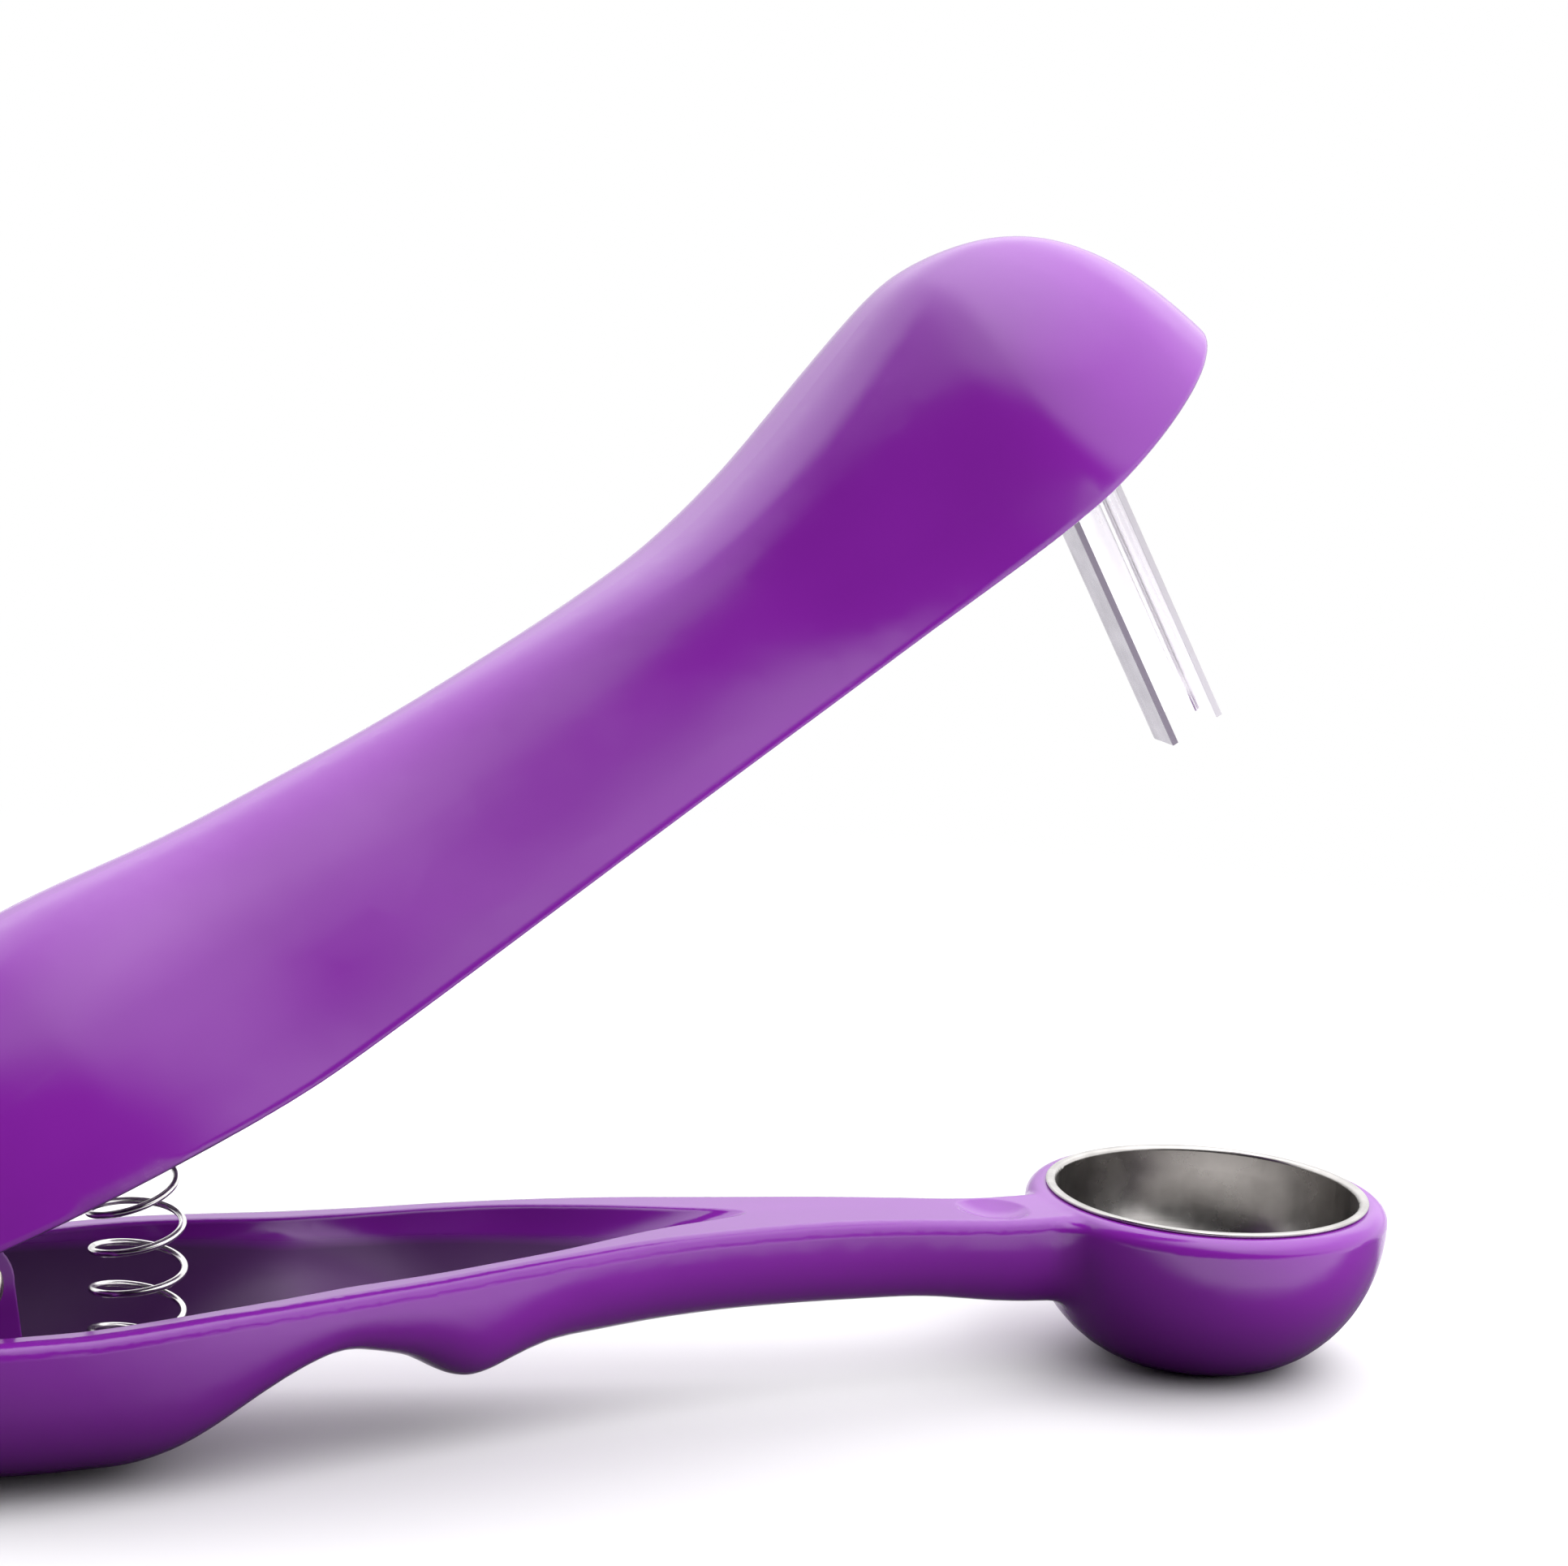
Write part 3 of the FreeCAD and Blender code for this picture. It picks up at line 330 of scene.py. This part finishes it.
# Turning marks round the pivot's axis, 0.2 mm apart, show through it
offset = add(tree, "ShaderNodeVectorMath", {
    0: place.outputs["Object"], 1: tuple(pivot)}, operation="SUBTRACT")
flat = add(tree, "ShaderNodeVectorMath", {
    0: offset.outputs[0], 1: (1.0, 0.0, 1.0)}, operation="MULTIPLY")
radius = add(tree, "ShaderNodeVectorMath", {0: flat.outputs[0]}, operation="LENGTH")
rings = add(tree, "ShaderNodeTexNoise", {
    "W": radius.outputs["Value"], "Scale": 1000 / 0.2, "Detail": 2.0}, noise_dimensions="1D")
relief = add(tree, "ShaderNodeBump", {
    "Height": rings.outputs["Fac"], "Strength": 0.3, "Distance": 0.00002})
fill(shader, {
    "Base Color": tone.outputs["Result"], "Roughness": rough.outputs[0],
    "Normal": relief.outputs["Normal"], "Metallic": 1.0})
for name in ("pivot_pin", "pivot_push_nut", "pusher_pin"):
    finish_node(name, plate)

# --- Return spring ------------------------------------------------------------------------
# A compression spring of 0.56 mm stainless spring wire opens the levers. Its end turns are
# closed, and sit over a spigot in each lever, so its axis bends as the levers turn.


def coil_wire(lower, upper, tilt, coil_radius, wire_radius, turns, start, around=16, per_turn=56):
    """Wire of a coil spring as a closed grid of points, and its faces.

    The axis is a cubic Bezier in the middle plane from the lower to the upper seat, upright at
    one and square to the tilted seat at the other. The centre line goes round it at the coil's
    radius: one closed turn at each end, 1.15 wires high, and the open turns evenly between them.
    A circle of the wire's radius follows it, in the frame of the line's tangent and the direction
    away from the axis. Each end is closed by a fan of triangles.
    """
    away = np.array([-math.sin(tilt), 0.0, math.cos(tilt)])
    lead = np.linalg.norm(upper - lower) * 0.42
    poles = np.array([lower, lower + [0, 0, lead], upper - away * lead, upper])
    t = np.linspace(0, 1, 2001)[:, None]
    axis = ((1 - t) ** 3 * poles[0] + 3 * t * (1 - t) ** 2 * poles[1]
            + 3 * t ** 2 * (1 - t) * poles[2] + t ** 3 * poles[3])
    run = np.concatenate([[0], np.cumsum(np.linalg.norm(np.diff(axis, axis=0), axis=1))])

    turn = np.linspace(0, turns + 2, (turns + 2) * per_turn + 1)
    closed = 1.15 * 2 * wire_radius
    distance = np.interp(
        turn, [0, 1, turns + 1, turns + 2], [0, closed, run[-1] - closed, run[-1]])
    centre = np.stack([np.interp(distance, run, axis[:, k]) for k in range(3)], axis=1)
    tangent = np.gradient(axis, axis=0)
    tangent = np.stack([np.interp(distance, run, tangent[:, k]) for k in range(3)], axis=1)
    tangent /= np.linalg.norm(tangent, axis=1)[:, None]
    across = np.array([0.0, 1.0, 0.0])
    angle = 2 * np.pi * (turn[:, None] + start)
    outward = np.cross(across, tangent) * np.cos(angle) + across * np.sin(angle)
    line = centre + outward * coil_radius

    heading = np.gradient(line, axis=0)
    heading /= np.linalg.norm(heading, axis=1)[:, None]
    side = np.cross(heading, outward)
    side /= np.linalg.norm(side, axis=1)[:, None]
    out = np.cross(side, heading)
    ring = 2 * np.pi * np.arange(around)[None, :, None] / around
    points = line[:, None, :] + wire_radius * (
        out[:, None, :] * np.cos(ring) + side[:, None, :] * np.sin(ring))

    grid = np.arange(len(line) * around).reshape(-1, around)
    after = np.roll(grid, -1, axis=1)
    quads = np.stack([grid[:-1], after[:-1], after[1:], grid[1:]], axis=-1)
    tips = np.full((2, around), [[grid.size], [grid.size + 1]])
    first = np.stack([tips[0], after[0], grid[0]], axis=1)
    last = np.stack([tips[1], grid[-1], after[-1]], axis=1)
    vertices = np.concatenate([points.reshape(-1, 3), [line[0], line[-1]]])
    return vertices, quads.reshape(-1, 4).tolist() + first.tolist() + last.tolist()


wire_radius = 0.00028
seat_gap = 0.00005
off_seat = Vector((0.0, 0.0, seat_gap + wire_radius))
low_seat = Vector((-0.0923, 0.0, parting - 0.010))
high_seat = Vector((-0.0909, 0.0, parting + 0.0092))  # on the closed lever
low_end = np.array(low_seat + off_seat)
high_end = np.array(open_turn @ (high_seat - off_seat))
vertices, faces = coil_wire(
    low_end, high_end, open_angle, coil_radius=0.00345, wire_radius=wire_radius, turns=8, start=0.25)
mesh = bpy.data.meshes.new("return_coil")
mesh.from_pydata(vertices.tolist(), [], faces)
mesh.polygons.foreach_set("use_smooth", [True] * len(mesh.polygons))
mesh.update()
coil = bpy.data.objects.new("return_coil", mesh)
bpy.context.scene.collection.objects.link(coil)

wire, tree, shader = new_material("drawn_spring_wire")
place = add(tree, "ShaderNodeTexCoord")
# Drawn wire: a thin bright line of light along each turn, broken by die lines and soap residue
# in patches of 1.2 mm
marks = add(tree, "ShaderNodeTexNoise", {
    "Vector": place.outputs["Object"], "Scale": 1000 / 1.2, "Detail": 3.0})
share = add(tree, "ShaderNodeMapRange", {
    "Value": marks.outputs["Fac"], "From Min": 0.35, "From Max": 0.65})
tone = add(tree, "ShaderNodeMix", {
    "Factor": share.outputs[0], "A": linear("#C4C2C1"), "B": linear("#E6E4E4")}, data_type="RGBA")
rough = add(tree, "ShaderNodeMapRange", {
    "Value": marks.outputs["Fac"], "To Min": 0.12, "To Max": 0.3})
relief = add(tree, "ShaderNodeBump", {
    "Height": marks.outputs["Fac"], "Strength": 0.3, "Distance": 0.00001})
fill(shader, {
    "Base Color": tone.outputs["Result"], "Roughness": rough.outputs[0],
    "Normal": relief.outputs["Normal"], "Metallic": 1.0})
mesh.materials.append(wire)
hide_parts("return_spring")
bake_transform(coil)

# --- Floor --------------------------------------------------------------------------------
# A sheet of matt white paper, on which the tool rests and throws a soft shadow.
# What the tool mirrors of it, and the light it throws back, carry painted shade: painted dark where
# the tool itself and whoever stands in front would shade it.

bpy.ops.mesh.primitive_grid_add(x_subdivisions=8, y_subdivisions=8, size=6)
floor = bpy.context.object
floor.name = "floor"
sheet, tree, shader = new_material("white_paper_sheet")
place = add(tree, "ShaderNodeTexCoord")
path = add(tree, "ShaderNodeLightPath")
split = add(tree, "ShaderNodeSeparateXYZ", {0: place.outputs["Object"]})
# Painted shade: ahead of the tool the paper is painted dark to 17 mm from the middle plane at the
# grip, and to 27 mm at the cup. Beyond that it is bright, apart from the grip's end, which is
# painted dimmer
near_cup = add(tree, "ShaderNodeMapRange", {
    "Value": split.outputs["X"], "From Min": -0.06, "From Max": -0.04,
    "To Min": 0.017, "To Max": 0.027})
ahead = add(tree, "ShaderNodeMath", {
    0: split.outputs["Y"], 1: near_cup.outputs[0]}, operation="ADD")
by_grip = add(tree, "ShaderNodeMapRange", {
    "Value": split.outputs["X"], "From Min": -0.095, "From Max": -0.065, "To Min": 0.12})
front = add(tree, "ShaderNodeMapRange", {
    "Value": ahead.outputs[0], "From Min": 0.004, "From Max": -0.006,
    "To Max": by_grip.outputs[0]}, interpolation_type="SMOOTHSTEP")
# Behind the tool the painted light is a little over half as bright
behind = add(tree, "ShaderNodeMapRange", {
    "Value": split.outputs["Y"], "From Min": 0.002, "From Max": 0.012, "To Max": 0.6},
    interpolation_type="SMOOTHSTEP")
lit = add(tree, "ShaderNodeMath", {
    0: front.outputs[0], 1: behind.outputs[0]}, operation="MAXIMUM")
# Far ahead on the left it is painted dark again
rightward = add(tree, "ShaderNodeVectorMath", {
    0: place.outputs["Object"], 1: (0.94, 0.34, 0.0)}, operation="DOT_PRODUCT")
right_side = add(tree, "ShaderNodeMapRange", {
    "Value": rightward.outputs["Value"], "From Min": -0.05, "From Max": 0.05})
close = add(tree, "ShaderNodeMapRange", {
    "Value": split.outputs["Y"], "From Min": -0.20, "From Max": -0.12})
open_side = add(tree, "ShaderNodeMath", {
    0: right_side.outputs[0], 1: close.outputs[0]}, operation="MAXIMUM")
painted_light_on_paper = add(tree, "ShaderNodeMath", {
    0: lit.outputs[0], 1: open_side.outputs[0]}, operation="MULTIPLY")
# Painted shade and light on the paper that the tool mirrors and that throws light back
mirrored_painted_shade = add(tree, "ShaderNodeMix", {
    "Factor": painted_light_on_paper.outputs[0], "A": linear("#484849"), "B": linear("#F0EFF1")},
    data_type="RGBA")
paper = add(tree, "ShaderNodeMix", {
    "Factor": path.outputs["Is Camera Ray"], "A": mirrored_painted_shade.outputs["Result"],
    "B": linear("#CFCED0")}, data_type="RGBA")
fill(shader, {"Base Color": paper.outputs["Result"], "Roughness": 0.7})
# 90 to 240 mm from the middle of the tool, the paper that the camera sees turns plain white
offset = add(tree, "ShaderNodeVectorMath", {
    0: place.outputs["Object"], 1: (0.045, 0.0, 0.0)}, operation="ADD")
reach = add(tree, "ShaderNodeVectorMath", {0: offset.outputs[0]}, operation="LENGTH")
fade = add(tree, "ShaderNodeMapRange", {
    "Value": reach.outputs["Value"], "From Min": 0.09, "From Max": 0.24},
    interpolation_type="SMOOTHSTEP")
plain = add(tree, "ShaderNodeMath", {
    0: fade.outputs[0], 1: path.outputs["Is Camera Ray"]}, operation="MULTIPLY")
white = add(tree, "ShaderNodeEmission", {"Color": (1.0, 1.0, 1.0, 1.0), "Strength": 1.0})
shown = add(tree, "ShaderNodeMixShader", {
    0: plain.outputs[0], 1: shader.outputs[0], 2: white.outputs[0]})
fill(tree.nodes["Material Output"], {"Surface": shown.outputs[0]})
floor.data.materials.append(sheet)

# --- Room and lamp ------------------------------------------------------------------------
# A wide ceiling light, a white wall behind and a soft lamp on the right light the tool.
# The room in front is dark, which draws the dark bands on the upright sides.

world = bpy.data.worlds.new("room")
bpy.context.scene.world = world
world.use_nodes = True
tree = world.node_tree
place = add(tree, "ShaderNodeTexCoord")
path = add(tree, "ShaderNodeLightPath")
split = add(tree, "ShaderNodeSeparateXYZ", {0: place.outputs["Generated"]})
# Ceiling light: its edge comes lower on the right, and it brightens towards the zenith
slope = add(tree, "ShaderNodeVectorMath", {
    0: place.outputs["Generated"], 1: (0.55, 0.0, 1.0)}, operation="DOT_PRODUCT")
edge = add(tree, "ShaderNodeMapRange", {
    "Value": slope.outputs["Value"], "From Min": 0.35, "From Max": 0.58, "To Max": 1.7},
    interpolation_type="SMOOTHSTEP")
zenith = add(tree, "ShaderNodeMapRange", {
    "Value": split.outputs["Z"], "From Min": 0.6, "From Max": 1.0, "To Max": 1.9})
ceiling = add(tree, "ShaderNodeMath", {
    0: edge.outputs[0], 1: zenith.outputs[0]}, operation="ADD")
# Whoever holds the tool stands at its grip, and shades the ceiling on that side
shaded = add(tree, "ShaderNodeMapRange", {
    "Value": split.outputs["X"], "From Min": -0.5, "From Max": -0.1, "To Min": 0.35})
ceiling = add(tree, "ShaderNodeMath", {
    0: ceiling.outputs[0], 1: shaded.outputs[0]}, operation="MULTIPLY")
# Wall behind: at least as white in the steel as the camera sees it, and brighter upwards
lifted = add(tree, "ShaderNodeMapRange", {
    "Value": split.outputs["Z"], "From Min": 0.18, "From Max": 0.45, "To Min": 1.0, "To Max": 2.1})
wall = add(tree, "ShaderNodeMapRange", {
    "Value": split.outputs["Y"], "From Min": -0.05, "From Max": 0.45, "To Max": lifted.outputs[0]},
    interpolation_type="SMOOTHSTEP")
room = add(tree, "ShaderNodeMath", {
    0: ceiling.outputs[0], 1: wall.outputs[0]}, operation="MAXIMUM")
# The camera itself sees plain white all round
seen = add(tree, "ShaderNodeMath", {
    0: room.outputs[0], 1: path.outputs["Is Camera Ray"]}, operation="MAXIMUM")
fill(tree.nodes["Background"], {"Color": (1.0, 1.0, 1.0, 1.0), "Strength": seen.outputs[0]})

# Square soft box on the right, half way up the sky, which no surface mirrors
lamp_turn = math.radians(-29.4)
lamp_rise = math.radians(52)
lamp_side = 0.7
towards_lamp = Vector((
    math.cos(lamp_turn) * math.cos(lamp_rise), math.sin(lamp_turn) * math.cos(lamp_rise),
    math.sin(lamp_rise)))
key_box = bpy.data.lights.new("key_box", "AREA")
key_box.shape = "SQUARE"
key_box.size = lamp_side
key_box.energy = 2.15 * math.pi * lamp_side ** 2
lamp = bpy.data.objects.new("key_box", key_box)
bpy.context.scene.collection.objects.link(lamp)
lamp.location = Vector((-0.045, 0.0, 0.03)) + towards_lamp * 0.8
lamp.rotation_euler = towards_lamp.to_track_quat("Z", "Y").to_euler()
lamp.visible_camera = False
lamp.visible_glossy = False

# --- Camera -------------------------------------------------------------------------------
# Long lens at arm's length, a little above the tool and on its grip side.
# It frames the hood, the cup and the spring, and cuts off the end of the grip.

eye = Vector((-0.180783, -0.298587, 0.111027))
view = Vector((0.4158, 0.8910, -0.1825)).normalized()
above = Vector((0.9092, -0.4119, 0.0605)).cross(view).normalized()
right = view.cross(above)
lens = bpy.data.cameras.new("camera")
lens.lens = 98.12
lens.sensor_width = 36
lens.clip_start = 0.01
camera = bpy.data.objects.new("camera", lens)
bpy.context.scene.collection.objects.link(camera)
camera.matrix_world = (
    Matrix.Translation(eye) @ Matrix((right, above, -view)).transposed().to_4x4())
bpy.context.scene.camera = camera
bpy.context.scene.view_settings.view_transform = "Standard"
